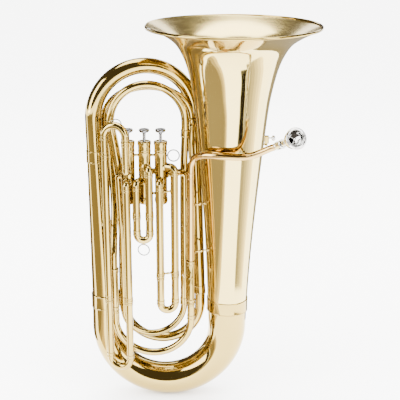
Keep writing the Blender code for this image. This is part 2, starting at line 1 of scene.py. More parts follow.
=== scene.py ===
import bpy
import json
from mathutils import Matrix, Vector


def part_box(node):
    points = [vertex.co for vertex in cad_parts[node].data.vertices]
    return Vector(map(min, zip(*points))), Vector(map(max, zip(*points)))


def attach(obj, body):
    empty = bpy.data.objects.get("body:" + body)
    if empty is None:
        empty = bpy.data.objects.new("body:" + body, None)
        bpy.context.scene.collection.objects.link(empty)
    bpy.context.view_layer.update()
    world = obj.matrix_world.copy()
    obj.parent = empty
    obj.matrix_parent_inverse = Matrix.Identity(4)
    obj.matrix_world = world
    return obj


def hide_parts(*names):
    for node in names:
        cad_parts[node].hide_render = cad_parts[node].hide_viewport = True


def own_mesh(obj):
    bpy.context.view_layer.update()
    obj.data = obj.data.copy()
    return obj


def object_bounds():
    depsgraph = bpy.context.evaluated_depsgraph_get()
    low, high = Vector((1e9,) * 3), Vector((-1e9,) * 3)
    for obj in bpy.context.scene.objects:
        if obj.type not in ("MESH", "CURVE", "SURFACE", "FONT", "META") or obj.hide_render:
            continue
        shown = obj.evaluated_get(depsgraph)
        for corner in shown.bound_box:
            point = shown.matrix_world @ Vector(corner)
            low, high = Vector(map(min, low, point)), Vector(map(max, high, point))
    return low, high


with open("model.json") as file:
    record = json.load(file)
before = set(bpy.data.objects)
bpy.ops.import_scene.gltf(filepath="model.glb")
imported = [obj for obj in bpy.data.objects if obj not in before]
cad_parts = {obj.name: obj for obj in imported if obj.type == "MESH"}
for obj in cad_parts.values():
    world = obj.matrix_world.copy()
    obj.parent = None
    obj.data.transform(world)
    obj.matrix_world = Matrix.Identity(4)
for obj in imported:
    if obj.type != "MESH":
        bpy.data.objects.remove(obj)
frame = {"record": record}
CAD_BOX = [list(map(float, v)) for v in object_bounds()]

import json
import math
import bpy
import bmesh
from mathutils import Matrix, Vector

# The design frame is the CAD's own, in millimetres before its shift to the box centre. The shift is read off the packed
# model: the third casing's axis and the underside of its lower cap are where the design puts them.
_lo, _hi = (Vector(v) * 1000 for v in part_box("bottom_cap_3"))
SX = (_lo.x + _hi.x) / 2 + 154.2
SY = (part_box("finger_button_3")[0][1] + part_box("finger_button_3")[1][1]) * 500 + 45.0
SZ = _lo.z - 484.6
BODY = {n: b for b, ns in frame["record"]["behaviour"]["bodies"].items() for n in ns}
ROOT = BODY["bell"]


def P(v):
    return Vector((v[0] + SX, v[1] + SY, v[2] + SZ)) * 0.001


def V(*a):
    return Vector(a)


# ---------------------------------------------------------------- materials
def nodes_of(name):
    m = bpy.data.materials.new(name)
    m.use_nodes = True
    nt = m.node_tree
    return m, nt, nt.nodes["Principled BSDF"]


def metal(name, dark, light, rough, spread, bump=0.015, grain=None, coat=0.0, stretch=(1, 1, 1)):
    """Polished metal: slow colour drift, roughness that varies with handling marks, hairline bump."""
    m, nt, b = nodes_of(name)
    n, l = nt.nodes, nt.links
    b.inputs["Metallic"].default_value = 1.0
    if coat:
        b.inputs["Coat Weight"].default_value = coat
        b.inputs["Coat Roughness"].default_value = 0.04
    tc = n.new("ShaderNodeTexCoord")
    mp = n.new("ShaderNodeMapping")
    mp.inputs["Scale"].default_value = stretch
    l.new(tc.outputs["Object"], mp.inputs["Vector"])
    big = n.new("ShaderNodeTexNoise")
    big.inputs["Scale"].default_value = 5.0
    big.inputs["Detail"].default_value = 3.0
    l.new(tc.outputs["Object"], big.inputs["Vector"])
    cr = n.new("ShaderNodeValToRGB")
    cr.color_ramp.elements[0].position, cr.color_ramp.elements[1].position = 0.3, 0.72
    cr.color_ramp.elements[0].color = (*dark, 1)
    cr.color_ramp.elements[1].color = (*light, 1)
    l.new(big.outputs["Fac"], cr.inputs["Fac"])
    l.new(cr.outputs["Color"], b.inputs["Base Color"])
    fine = n.new("ShaderNodeTexNoise")
    fine.inputs["Scale"].default_value = 38.0
    fine.inputs["Detail"].default_value = 6.0
    l.new(mp.outputs["Vector"], fine.inputs["Vector"])
    mr = n.new("ShaderNodeMapRange")
    mr.inputs["From Min"].default_value, mr.inputs["From Max"].default_value = 0.3, 0.75
    mr.inputs["To Min"].default_value, mr.inputs["To Max"].default_value = rough, rough + spread
    l.new(fine.outputs["Fac"], mr.inputs["Value"])
    l.new(mr.outputs["Result"], b.inputs["Roughness"])
    if bump:
        hair = n.new("ShaderNodeTexNoise")
        hair.inputs["Scale"].default_value = grain or 260.0
        hair.inputs["Detail"].default_value = 2.0
        l.new(mp.outputs["Vector"], hair.inputs["Vector"])
        bp = n.new("ShaderNodeBump")
        bp.inputs["Strength"].default_value = bump
        bp.inputs["Distance"].default_value = 0.0006
        l.new(hair.outputs["Fac"], bp.inputs["Height"])
        l.new(bp.outputs["Normal"], b.inputs["Normal"])
    return m


# Tube brass is the same lacquered brass as the bell but with a far darker base colour: painted shade on the tubing,
# bows, valves and braces, dimming their highlights and their reflections of each other.
SHADED_BRASS = metal("lacquered_brass_painted_shade", (0.40, 0.28, 0.068), (0.48, 0.35, 0.10), 0.05, 0.05, 0.012, coat=0.2)
BELL = metal("lacquered_bell_brass", (0.62, 0.475, 0.155), (0.68, 0.535, 0.195), 0.06, 0.05, 0.010, 60.0, 0.25,
             stretch=(0.6, 0.6, 9.0))
SILVER = metal("silver_plate", (0.66, 0.66, 0.65), (0.78, 0.78, 0.77), 0.05, 0.07, 0.012)
NICKEL = metal("lapped_nickel", (0.26, 0.25, 0.25), (0.36, 0.35, 0.34), 0.16, 0.12, 0.04, 120.0, 0.0, (1, 1, 14))
STEEL = metal("spring_steel", (0.42, 0.42, 0.41), (0.56, 0.56, 0.55), 0.22, 0.14, 0.03)


def soft_material(name, a, b_, rough, scale):
    m, nt, b = nodes_of(name)
    n, l = nt.nodes, nt.links
    tc = n.new("ShaderNodeTexCoord")
    t = n.new("ShaderNodeTexNoise")
    t.inputs["Scale"].default_value = scale
    t.inputs["Detail"].default_value = 8.0
    l.new(tc.outputs["Object"], t.inputs["Vector"])
    cr = n.new("ShaderNodeValToRGB")
    cr.color_ramp.elements[0].color, cr.color_ramp.elements[1].color = (*a, 1), (*b_, 1)
    l.new(t.outputs["Fac"], cr.inputs["Fac"])
    l.new(cr.outputs["Color"], b.inputs["Base Color"])
    b.inputs["Roughness"].default_value = rough
    bp = n.new("ShaderNodeBump")
    bp.inputs["Strength"].default_value = 0.4
    bp.inputs["Distance"].default_value = 0.0004
    l.new(t.outputs["Fac"], bp.inputs["Height"])
    l.new(bp.outputs["Normal"], b.inputs["Normal"])
    return m


CORK = soft_material("cork", (0.30, 0.17, 0.08), (0.55, 0.36, 0.2), 0.8, 900.0)
PEARL = metal("button_face", (0.12, 0.117, 0.12), (0.20, 0.196, 0.196), 0.12, 0.10, 0.01)


# ---------------------------------------------------------------- geometry helpers
def arc(c, u, w, a0, a1, n):
    c, u, w = Vector(c), Vector(u), Vector(w)
    return [c + u * math.cos(math.radians(a0 + (a1 - a0) * i / n)) +
            w * math.sin(math.radians(a0 + (a1 - a0) * i / n)) for i in range(n + 1)]


def smooth(points, per):
    p = [Vector(q) for q in points]
    p = [p[0] * 2 - p[1]] + p + [p[-1] * 2 - p[-2]]
    out = []
    for i in range(1, len(p) - 2):
        for k in range(per):
            t = k / per
            a, b, c, d = p[i - 1], p[i], p[i + 1], p[i + 2]
            out.append(0.5 * ((2 * b) + (c - a) * t + (2 * a - 5 * b + 4 * c - d) * t * t +
                              (3 * b - a - 3 * c + d) * t ** 3))
    out.append(p[-2])
    return out


def fillet(points, radius, n=4):
    p = [Vector(q) for q in points]
    out = [p[0]]
    for a, b, c in zip(p, p[1:], p[2:]):
        d1, d2 = (a - b).normalized(), (c - b).normalized()
        ang = d1.angle(d2)
        if ang > 3.1:
            out.append(b)
            continue
        t = min(radius / math.tan(ang / 2), (a - b).length * 0.499, (c - b).length * 0.499)
        r = t * math.tan(ang / 2)
        cen = b + (d1 + d2).normalized() * (r / math.sin(ang / 2))
        s, e = b + d1 * t - cen, b + d2 * t - cen
        tot = s.angle(e)
        for k in range(n + 1):
            f = k / n
            out.append(cen + (s * math.sin((1 - f) * tot) + e * math.sin(f * tot)) / math.sin(tot))
    out.append(p[-1])
    return out


def ramp(n, *vals):
    out = []
    for i in range(n):
        t = i / (n - 1) * (len(vals) - 1)
        k = min(int(t), len(vals) - 2)
        out.append(vals[k] + (vals[k + 1] - vals[k]) * (t - k))
    return out


def relax(points, rounds=2):
    """Even out a centreline's corners without moving its ends."""
    p = [Vector(q) for q in points]
    for _ in range(rounds):
        p = [p[0]] + [p[i] * 0.5 + (p[i - 1] + p[i + 1]) * 0.25 for i in range(1, len(p) - 1)] + [p[-1]]
    return p


def link(name, bm, mat, body, nodes=(), sharp=38):
    bmesh.ops.recalc_face_normals(bm, faces=bm.faces)
    me = bpy.data.meshes.new(name)
    bm.to_mesh(me)
    bm.free()
    me.shade_smooth()
    me.set_sharp_from_angle(angle=math.radians(sharp))
    ob = bpy.data.objects.new(name, me)
    bpy.context.scene.collection.objects.link(ob)
    for m in (mat if isinstance(mat, (list, tuple)) else [mat]):
        me.materials.append(m)
    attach(ob, body)
    if nodes:
        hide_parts(*nodes)
    return ob


def add_tube(bm, pts, radii, sides=40, wall=0.9, solid=False):
    pts = [P(q) for q in pts]
    if not hasattr(radii, "__len__"):
        radii = [radii] * len(pts)
    n = len(pts)
    tang = [(pts[min(i + 1, n - 1)] - pts[max(i - 1, 0)]).normalized() for i in range(n)]
    ref = Vector((0, 0, 1)) if abs(tang[0].z) < 0.9 else Vector((1, 0, 0))
    u = (ref - tang[0] * ref.dot(tang[0])).normalized()
    outer, inner = [], []
    for i in range(n):
        if i:
            u = tang[i - 1].rotation_difference(tang[i]) @ u
        u = (u - tang[i] * u.dot(tang[i])).normalized()
        w = tang[i].cross(u)
        ro = radii[i] * 0.001
        ring = [(u * math.cos(2 * math.pi * k / sides) + w * math.sin(2 * math.pi * k / sides)) for k in range(sides)]
        outer.append([bm.verts.new(pts[i] + d * ro) for d in ring])
        if not solid:
            inner.append([bm.verts.new(pts[i] + d * (ro - wall * 0.001)) for d in ring])

    def skin(rings, flip):
        for a, b in zip(rings, rings[1:]):
            for k in range(sides):
                q = (k + 1) % sides
                f = (a[k], a[q], b[q], b[k])
                bm.faces.new(f[::-1] if flip else f)
    skin(outer, False)
    if solid:
        bm.faces.new(outer[0][::-1])
        bm.faces.new(outer[-1])
    else:
        skin(inner, True)
        for o, i_, fl in ((outer[0], inner[0], True), (outer[-1], inner[-1], False)):
            for k in range(sides):
                q = (k + 1) % sides
                f = (o[k], o[q], i_[q], i_[k])
                bm.faces.new(f[::-1] if fl else f)


def tube(name, pts, radii, mat=SHADED_BRASS, nodes=(), sides=40, wall=0.9, body=None, solid=False, extra=None):
    bm = bmesh.new()
    add_tube(bm, pts, radii, sides, wall, solid)
    for e in extra or ():
        e(bm)
    return link(name, bm, mat, body or ROOT, nodes)


def round2d(profile, r, n=3, closed=False):
    """Round a turned outline's corners."""
    p = [Vector((a, 0, b)) for a, b in profile]
    if closed:
        q = fillet([p[-1]] + p + [p[0]], r, n)[1:-1]
    else:
        q = fillet(p, r, n)
    return [(v.x, v.z) for v in q]


def add_lathe(bm, profile, at, axis=(0, 0, 1), steps=64, closed=False, knurl=None):
    """Turn (radius, height) points; a closed outline is a ring, an open one starts and ends on the axis."""
    q = Vector((0, 0, 1)).rotation_difference(Vector(axis).normalized()).to_matrix()
    o = P(at)
    rings = []
    for r, h in profile:
        if r < 1e-4:
            rings.append([bm.verts.new(o + q @ Vector((0, 0, h * 0.001)))])
            continue
        row = []
        for k in range(steps):
            a = 2 * math.pi * k / steps
            rr = r
            if knurl and knurl[0] <= h <= knurl[1] and r >= knurl[4]:
                rr = r + knurl[2] * (0.5 + 0.5 * math.cos(knurl[3] * a))
            row.append(bm.verts.new(o + q @ Vector((rr * 0.001 * math.cos(a), rr * 0.001 * math.sin(a), h * 0.001))))
        rings.append(row)
    seq = list(zip(rings, rings[1:])) + ([(rings[-1], rings[0])] if closed else [])
    for a, b in seq:
        if len(a) == 1 and len(b) == 1:
            continue
        for k in range(steps):
            j = (k + 1) % steps
            if len(a) == 1:
                bm.faces.new((a[0], b[k], b[j]))
            elif len(b) == 1:
                bm.faces.new((a[k], b[0], a[j]))
            else:
                bm.faces.new((a[k], b[k], b[j], a[j]))


def lathe(name, profile, at, axis=(0, 0, 1), mat=SHADED_BRASS, nodes=(), steps=64, closed=False, body=None, knurl=None,
          extra=None):
    bm = bmesh.new()
    add_lathe(bm, profile, at, axis, steps, closed, knurl)
    for e in extra or ():
        e(bm)
    return link(name, bm, mat, body or ROOT, nodes)


def ferrule_outline(r, half, t=1.0, bead=0.55):
    """Soldered sleeve over a joint: a plain band with a raised bead at each end."""
    w = min(2.5, half * 0.6)
    o = [(r + t, half), (r + t + bead, half - 0.2 * w), (r + t + bead, half - 0.76 * w), (r + t, half - w),
         (r + t, -half + w), (r + t + bead, -half + 0.76 * w), (r + t + bead, -half + 0.2 * w), (r + t, -half),
         (r, -half), (r, half)]
    return round2d(o, 0.35, 3, True)


def collar(bm, at, axis, r, half, t=0.8, steps=48, bead=0.4):
    add_lathe(bm, ferrule_outline(r, half, t, bead), at, axis, steps, True)


# ---------------------------------------------------------------- camera, stage, light
cam_data = bpy.data.cameras.new("camera")
cam_data.lens = 85.5
cam_data.sensor_width = 36.0
cam = bpy.data.objects.new("camera", cam_data)
bpy.context.scene.collection.objects.link(cam)
PITCH = math.radians(18.1)
aim = P((0, 0, 479.4))
cam.location = aim + Vector((0, -math.cos(PITCH), math.sin(PITCH))) * 2.121
cam.rotation_euler = (math.pi / 2 - PITCH, 0, 0)
bpy.context.scene.camera = cam


def area(name, loc, size, target, power, colour=(1, 1, 1)):
    d = bpy.data.lights.new(name, "AREA")
    d.shape = "RECTANGLE"
    d.size, d.size_y = size
    d.energy = power
    d.color = colour
    o = bpy.data.objects.new(name, d)
    bpy.context.scene.collection.objects.link(o)
    o.location = loc
    o.rotation_euler = (Vector(target) - Vector(loc)).to_track_quat("-Z", "Y").to_euler()
    o.visible_camera = False
    return o


area("softbox_left", (-2.3, -1.3, 1.55), (1.3, 2.3), (0, 0, 0.45), 120, (1.0, 0.99, 0.97))
area("softbox_right", (2.1, -1.9, 1.5), (0.9, 2.2), (0, 0, 0.45), 70, (1.0, 0.99, 0.98))
area("overhead", (0.1, 0.3, 2.9), (2.4, 1.8), (0, 0, 0.4), 150)
area("back_strip", (0.5, 2.6, 1.9), (3.4, 0.6), (0, 0, 0.6), 30)

world = bpy.data.worlds.new("studio")
bpy.context.scene.world = world
world.use_nodes = True
wn, wl = world.node_tree.nodes, world.node_tree.links
wn.clear()
wo = wn.new("ShaderNodeOutputWorld")
mixw = wn.new("ShaderNodeMixShader")
soft_bg, refl_bg = wn.new("ShaderNodeBackground"), wn.new("ShaderNodeBackground")
soft_bg.inputs["Color"].default_value = (1.0, 1.0, 1.0, 1)
soft_bg.inputs["Strength"].default_value = 8.0
refl_bg.inputs["Color"].default_value = (0.30, 0.26, 0.22, 1)
refl_bg.inputs["Strength"].default_value = 0.5
lp = wn.new("ShaderNodeLightPath")
wl.new(lp.outputs["Is Glossy Ray"], mixw.inputs["Fac"])
wl.new(soft_bg.outputs["Background"], mixw.inputs[1])
wl.new(refl_bg.outputs["Background"], mixw.inputs[2])
wl.new(mixw.outputs["Shader"], wo.inputs["Surface"])

FLOOR_Z = CAD_BOX[0][2] - 0.0015


def card(name, corners, colour, rough=0.9, camera=True):
    me = bpy.data.meshes.new(name)
    me.from_pydata(corners, [], [(0, 1, 2, 3)])
    ob = bpy.data.objects.new(name, me)
    bpy.context.scene.collection.objects.link(ob)
    m, nt, b = nodes_of(name + "_mat")
    b.inputs["Base Color"].default_value = (*colour, 1)
    b.inputs["Roughness"].default_value = rough
    b.inputs["Specular IOR Level"].default_value = 0.0
    me.materials.append(m)
    ob.visible_camera = camera
    return ob


floor = card("floor", [(-30, -30, FLOOR_Z), (30, -30, FLOOR_Z), (30, 40, FLOOR_Z), (-30, 40, FLOOR_Z)],
             (0.93, 0.93, 0.925))
# Matt cloths laid round the set, out of the camera's sight. Polished tubes mirror the floor, so these are what gives them
# their darker bands: a grey one all round, a narrow black gap to the front, warm ones to the sides.
def cloth(name, rows, colour, lift=0.003, centre=(0.062, 0.013)):
    """Flat band on the floor. Each row is a distance from the bell's axis and two bearings in degrees from +X."""
    n = 24
    pts, faces = [], []
    for r, a0, a1 in rows:
        for k in range(n + 1):
            a = math.radians(a0 + (a1 - a0) * k / n)
            pts.append((centre[0] + r * math.cos(a), centre[1] + r * math.sin(a), FLOOR_Z + lift))
    for i in range(len(rows) - 1):
        for k in range(n):
            q = i * (n + 1) + k
            faces.append((q, q + n + 1, q + n + 2, q + 1))
    me = bpy.data.meshes.new(name)
    me.from_pydata(pts, [], faces)
    ob = bpy.data.objects.new(name, me)
    bpy.context.scene.collection.objects.link(ob)
    m, nt, b = nodes_of(name + "_mat")
    b.inputs["Base Color"].default_value = (*colour, 1)
    b.inputs["Roughness"].default_value = 0.95
    b.inputs["Specular IOR Level"].default_value = 0.0
    me.materials.append(m)
    ob.visible_camera = False
    ob.visible_diffuse = False
    ob.visible_shadow = False
    return ob


cloth("cloth_gap", ((1.6, -61, -54), (2.4, -59, -54), (5.0, -57, -54)), (0.004, 0.003, 0.002), 0.0055)
for k, (a0, a1, tone) in enumerate(((-53, -40, 0.13), (-40, -30, 0.20), (-30, -21, 0.30), (-21, -12, 0.42), (-12, -4, 0.6))):
    cloth("cloth_front_right_%d" % k, ((0.55, a0, a1), (5.0, a0, a1)), (tone, tone * 0.92, tone * 0.76), 0.003 + k * 0.0003)
cloth("cloth_right_far", ((0.40, 42, 88), (5.0, 38, 88)), (0.085, 0.075, 0.055))
cloth("cloth_back", ((0.50, 88, 178), (5.0, 88, 170)), (0.045, 0.033, 0.018))
# The left side of the floor is a warm mid tone out to the bench's end, so every tube shades off towards its left edge.
for k, (x0, x1, tone) in enumerate(((-0.42, -0.34, 0.36), (-0.52, -0.42, 0.19), (-5.0, -0.52, 0.085))):
    c = card("cloth_left_%d" % k, [(x0, -5.0, FLOOR_Z + 0.003), (x1, -5.0, FLOOR_Z + 0.003), (x1, -0.12, FLOOR_Z + 0.003),
                                   (x0, -0.12, FLOOR_Z + 0.003)], (tone, tone * 0.84, tone * 0.56), 0.95, False)
    c.visible_diffuse = c.visible_shadow = False
ang = math.radians(-63)
cu, cw = Vector((math.cos(ang), math.sin(ang), 0)), Vector((-math.sin(ang), math.cos(ang), 0))
cc = Vector((0.062, 0.013, 0)) + cu * 0.35
flag = card("flag_black", [tuple(cc - cw * 0.034 + Vector((0, 0, 0.590))), tuple(cc + cw * 0.034 + Vector((0, 0, 0.590))),
                           tuple(cc + cw * 0.046 + Vector((0, 0, 0.468))), tuple(cc - cw * 0.060 + Vector((0, 0, 0.468)))],
            (0.006, 0.005, 0.004), 0.95, False)
flag.visible_diffuse = flag.visible_shadow = False

# ---------------------------------------------------------------- bell
Q = 2
BELL_X, BELL_LOW = 62.5, 230.2
LEAN = Vector((math.tan(math.radians(0.79)), 0.0, 1.0))
PROFILE = ((182.0, 863.6), (172.0, 858.6), (158.0, 851.4), (143.5, 843.0), (130.0, 833.6), (119.3, 821.8),
           (110.6, 807.0), (103.0, 791.0), (94.8, 766.0), (86.2, 728.0), (79.4, 686.0), (70.8, 597.0),
           (61.0, 490.0), (50.6, 350.0), (45.0, 230.2))


def bell_axis(h):
    return Vector((BELL_X + (h - BELL_LOW) * math.tan(math.radians(0.79)), 0.0, h))


def bell_r(h):
    for (r1, z1), (r2, z2) in zip(PROFILE, PROFILE[1:]):
        if z2 <= h <= z1:
            return r2 + (r1 - r2) * (h - z2) / (z1 - z2)
    return PROFILE[-1][0]


outer = [(v.x, v.z) for v in smooth([(186.2, 0, 866.0)] + [(r, 0, h) for r, h in PROFILE], 6)]
for _ in range(6):
    outer = [outer[0]] + [((a[0] + 2 * b[0] + c[0]) / 4, (a[1] + 2 * b[1] + c[1]) / 4)
                          for a, b, c in zip(outer, outer[1:], outer[2:])] + [outer[-1]]
inner = []
for i, (r, h) in enumerate(outer):
    a, b = Vector(outer[max(i - 1, 0)]), Vector(outer[min(i + 1, len(outer) - 1)])
    d = (b - a).normalized()
    inner.append((r + d.y * 0.9, h - d.x * 0.9))
steps = 96 * Q
bm = bmesh.new()
prof = [(r, h - BELL_LOW) for r, h in outer] + [(r, h - BELL_LOW) for r, h in inner[::-1]]
add_lathe(bm, prof, (BELL_X, 0, BELL_LOW), LEAN, steps, True)
bm.faces.ensure_lookup_table()
for i, f in enumerate(bm.faces):
    if i // steps >= len(outer):
        f.material_index = 1
BELL_IN = metal("bell_bore_brass", (0.66, 0.50, 0.165), (0.72, 0.56, 0.21), 0.17, 0.08, 0.02, 60.0, 0.2,
                stretch=(0.6, 0.6, 9.0))
link("bell_flare", bm, [BELL, BELL_IN], ROOT, ("bell",), 60)

n = 14
rim = [(185.9 + 3.05 * math.cos(2 * math.pi * k / n), 3.05 * math.sin(2 * math.pi * k / n)) for k in range(n)]
lathe("bell_rim_bead", rim, bell_axis(864.5), (0, 0, 1), SHADED_BRASS, ("bell_rim_wire",), 96 * Q, True)
lathe("bell_stem_ferrule", ferrule_outline(45.9, 15.0, 1.0, 0.35), bell_axis(230.0), LEAN, SHADED_BRASS, ("bell_ferrule",),
      64 * Q, True)

# ---------------------------------------------------------------- large branches
BOW_C = (-77.5, 0.0, 177.0)
bow = ([Vector((62.5, 0.0, 229.0)), Vector((62.5, 0, 205))] +
       arc(BOW_C, (140, 0, 0), (0, 0, -140), 0, 180, 60) + [Vector((-217.5, 0, 210)), Vector((-217.5, 0, 237.6))])
tube("bottom_bow_shell", bow, [44.4, 44.1] + ramp(61, 43.4, 36.9, 31.0) + [30.5, 30.2], SHADED_BRASS, ("bottom_bow",),
     40 * Q, 1.0)


def bow_band(name, deg, half_deg, r, t=1.3):
    """Raised ring round the bottom bow, following its bend."""
    bm = bmesh.new()
    pts = arc(BOW_C, (140, 0, 0), (0, 0, -140), deg - half_deg, deg + half_deg, 10)
    k = len(pts)
    add_tube(bm, pts, [r + t * (1 - abs(2 * i / (k - 1) - 1) ** 6) for i in range(k)], 40 * Q, t + 0.4)
    return link(name, bm, SHADED_BRASS, ROOT)


LEFT_LOW, LEFT_HIGH = Vector((-217.5, 0, 239.4)), Vector((-229.5, 0, 581.4))
lathe("left_bow_joint", ferrule_outline(31.0, 16.5, 0.8, 0.35), (-217.5, 0, 239.4), (0, 0, 1), SHADED_BRASS,
      ("left_bow_ferrule",), 48 * Q, True)
tube("left_branch_tube", [LEFT_LOW.lerp(LEFT_HIGH, t / 8) for t in range(9)], ramp(9, 30.0, 24.3, 19.0), SHADED_BRASS,
     ("first_branch",), 36 * Q)
lathe("top_bow_joint", ferrule_outline(19.5, 13.4, 0.7, 0.3), (-229.5, 0, 581.6), (0, 0, 1), SHADED_BRASS,
      ("top_bow_ferrule",), 40 * Q, True)
TOP_C, TOP_U = Vector((-122.8, 27.0, 666.0)), Vector((108.8, 27.0, 0.0))
top = ([Vector((-229.5, 0, 581.75)), Vector((-230.4, 0, 615)), Vector((-231.0, 0, 645))] +
       arc(TOP_C, TOP_U, (0, 0, 110.5), 180, 0, 60) + [Vector((-14.0, 54.0, 652.4))])
tube("top_bow_tube", top, [19.0, 18.8, 18.6] + ramp(61, 18.3, 17.2, 15.8) + [15.7], SHADED_BRASS, ("top_bow",), 32 * Q)
V2T, V2L = Vector((-14.0, 54.0, 650.0)), Vector((0.0, 19.0, 255.0))
vd = (V2L - V2T).normalized()
tube("second_branch_tube", [V2T.lerp(V2L, t / 10) for t in range(11)], ramp(11, 15.7, 14.4, 13.0, 11.7), SHADED_BRASS,
     ("second_branch",), 28 * Q, extra=[lambda b: collar(b, V2T + vd * 1.0, vd, 15.9, 12.0, 1.0, 56),
                                        lambda b: collar(b, V2L - vd * 1.0, vd, 11.9, 10.0, 0.9, 48)])
T2 = smooth(((-178.0, 24.0, 222.0), (-176.0, 15.0, 360.0), (-172.3, 3.0, 480.0), (-184.0, -3.5, 590.0),
             (-196.0, -5.0, 660.0)), 10)
b2 = arc((-89.0, 21.5, 221.0), (89.0, -2.5, 0), (0, 0, -89.5), 0, 172, 44)
tube("third_branch_tube", [Vector((0, 19.0, 253.0))] + b2 + T2[1:], [11.7] + ramp(len(b2) + len(T2) - 1, 11.5, 9.2),
     SHADED_BRASS, ("third_branch",), 24 * Q,
     extra=[lambda b: collar(b, (-177.6, 22.6, 243.0), (0.01, -0.065, 1), 10.9, 9.0, 0.8),
            lambda b: collar(b, (-196.0, -5.0, 657.0), (-0.17, -0.02, 1), 9.3, 8.0, 0.8)])
ris = smooth(((-37.0, 12.0, 224.2), (-37.0, 9.0, 450.0), (-35.5, 2.0, 560.0), (-31.8, -4.0, 640.0)), 8)
ib = arc((-113.9, -4.5, 660.0), (82.1, 0.5, 0), (0, 0, 81.5), 170, 3, 44)
inner_path = relax([Vector((-196.0, -5, 664.0))] + ib + ris[::-1], 3)
tube("fourth_branch_tube", inner_path, [9.2] + ramp(len(inner_path) - 1, 9.2, 7.9), SHADED_BRASS, ("fourth_branch",), 24 * Q,
     extra=[lambda b: collar(b, (-32.1, -3.7, 634.0), (-0.045, 0.07, -1), 8.9, 8.0, 0.8),
            lambda b: collar(b, (-37.0, 12.0, 230.0), (0, 0, 1), 8.0, 8.0, 0.8)])
v3x, v3y = -154.2, -45.0
d = Vector((-0.86, 0.51, 0)).normalized()
s0 = Vector((v3x, v3y, 548.0)) + d * 15.4
ex = fillet([s0, s0 + d * 13.5, Vector((-176.2, -31.0, 470.0)), Vector((-173.6, -27.0, 400.0)),
             Vector((-174.0, -17.0, 260.0))], 12.0, 10)
bow1 = arc((-105.5, -2.0, 221.65), (-68.5, -14.0, 0), (0, 0, -67.5), 0, 180, 44)
tube("valve_exit_tube", ex[:-1] + [Vector((-174.0, -17.0, 262.0)), Vector((-174.0, -16.2, 240.0))] + bow1, 7.6, SHADED_BRASS,
     ("valve_exit_branch",), 22 * Q,
     extra=[lambda b: collar(b, (-174.0, -16.4, 244.0), (0, 0.03, -1), 7.7, 9.0, 0.8),
            lambda b: collar(b, s0 + d * 3.0, d, 7.7, 3.4, 0.8)])

# ---------------------------------------------------------------- entry side
MP = Vector((0.325, -0.864, 0.393)).normalized()
REC = Vector((169.0, -148.0, 648.0))
rec0 = REC - MP * 30.0
lead = smooth([rec0, rec0 - MP * 9.0, (143.0, -109.5, 626.5), (126.0, -103.5, 617.0), (108.0, -99.0, 609.0),
               (83.2, -92.0, 604.0), (44.3, -84.5, 604.0), (12.7, -70.0, 602.0), (-7.5, -53.0, 594.0),
               (-17.5, -44.5, 580.0), (-20.6, -42.0, 560.0)], 8)
lead = relax(lead + [Vector((-20.6, -42.0, h)) for h in (540, 500, 450, 400, 370, 350.35)], 4)
lead_r = ramp(len(lead), 6.9, 7.3, 7.8, 7.9)
LEADPIPE = metal("leadpipe_gold_brass", (0.50, 0.315, 0.095), (0.57, 0.38, 0.13), 0.05, 0.05, 0.012, coat=0.25)
tube("leadpipe_tube", lead, lead_r, LEADPIPE, ("leadpipe",), 24 * Q,
     extra=[lambda b: collar(b, (-20.6, -42.0, 548.0), (0, 0, 1), 8.0, 7.0, 0.8)])
lathe("receiver_socket", round2d([(8.6, 29.0), (9.7, 27.8), (9.7, 24.0), (9.0, 22.6), (8.6, 14.0), (8.5, 4.0), (9.3, 3.0),
                                  (9.3, 1.0), (8.6, 0.0), (7.2, 0.0), (7.2, 29.0)], 0.4, 3, True), rec0 + MP * 1.0, MP,
      SILVER, ("mouthpiece_receiver",), 32 * Q, True)
TR, TL = (-20.6, -42.0), (-192.6, -38.0)


def slide_sleeve_outline(lo, hi, r=8.95, bore=8.1, end=+1):
    """Straight outer slide with a heavier collar at its open end."""
    o = [(r, hi), (r, lo + 11.0), (r + 0.25, lo + 10.4), (r + 0.85, lo + 9.6), (r + 0.85, lo + 7.8), (r + 0.25, lo + 7.0),
         (r + 0.35, lo + 2.6), (r + 0.95, lo + 2.0), (r + 0.95, lo + 0.4), (r + 0.3, lo), (bore, lo), (bore, hi)]
    return round2d(o, 0.3, 2, True)


def water_key_post(b):
    for sx in (-1, 1):
        add_lathe(b, round2d([(0.01, 1.1), (2.3, 1.1), (2.3, -1.1), (0.01, -1.1)], 0.3, 2),
                  (TR[0] + sx * 3.3, TR[1] - 14.6, 314.0), (1, 0, 0), 24)
        add_tube(b, [(TR[0] + sx * 3.3, TR[1] - 8.4, 314.0), (TR[0] + sx * 3.3, TR[1] - 14.0, 314.0)], 1.5, 12,
                 solid=True)
    add_tube(b, [(TR[0] - 4.6, TR[1] - 14.6, 314.0), (TR[0] + 4.6, TR[1] - 14.6, 314.0)], 0.9, 12, solid=True)
    add_lathe(b, round2d([(0.01, 3.0), (3.6, 3.0), (4.0, 0.0), (0.01, 0.0)], 0.5, 2),
              (TR[0], TR[1] - 8.0, 299.0), (0, -1, 0), 24)


lathe("tuning_outer_right", slide_sleeve_outline(248.0, 350.0), (*TR, 0), (0, 0, 1), SHADED_BRASS, ("tuning_sleeve_right",),
      24 * Q, True, extra=[water_key_post, lambda b: collar(b, (*TR, 346.0), (0, 0, 1), 8.9, 5.0, 0.8)])
lathe("tuning_outer_left", slide_sleeve_outline(228.0, 330.0), (*TL, 0), (0, 0, 1), SHADED_BRASS, ("tuning_sleeve_left",),
      24 * Q, True, extra=[lambda b: collar(b, (*TL, 326.0), (0, 0, 1), 8.9, 5.0, 0.8)])


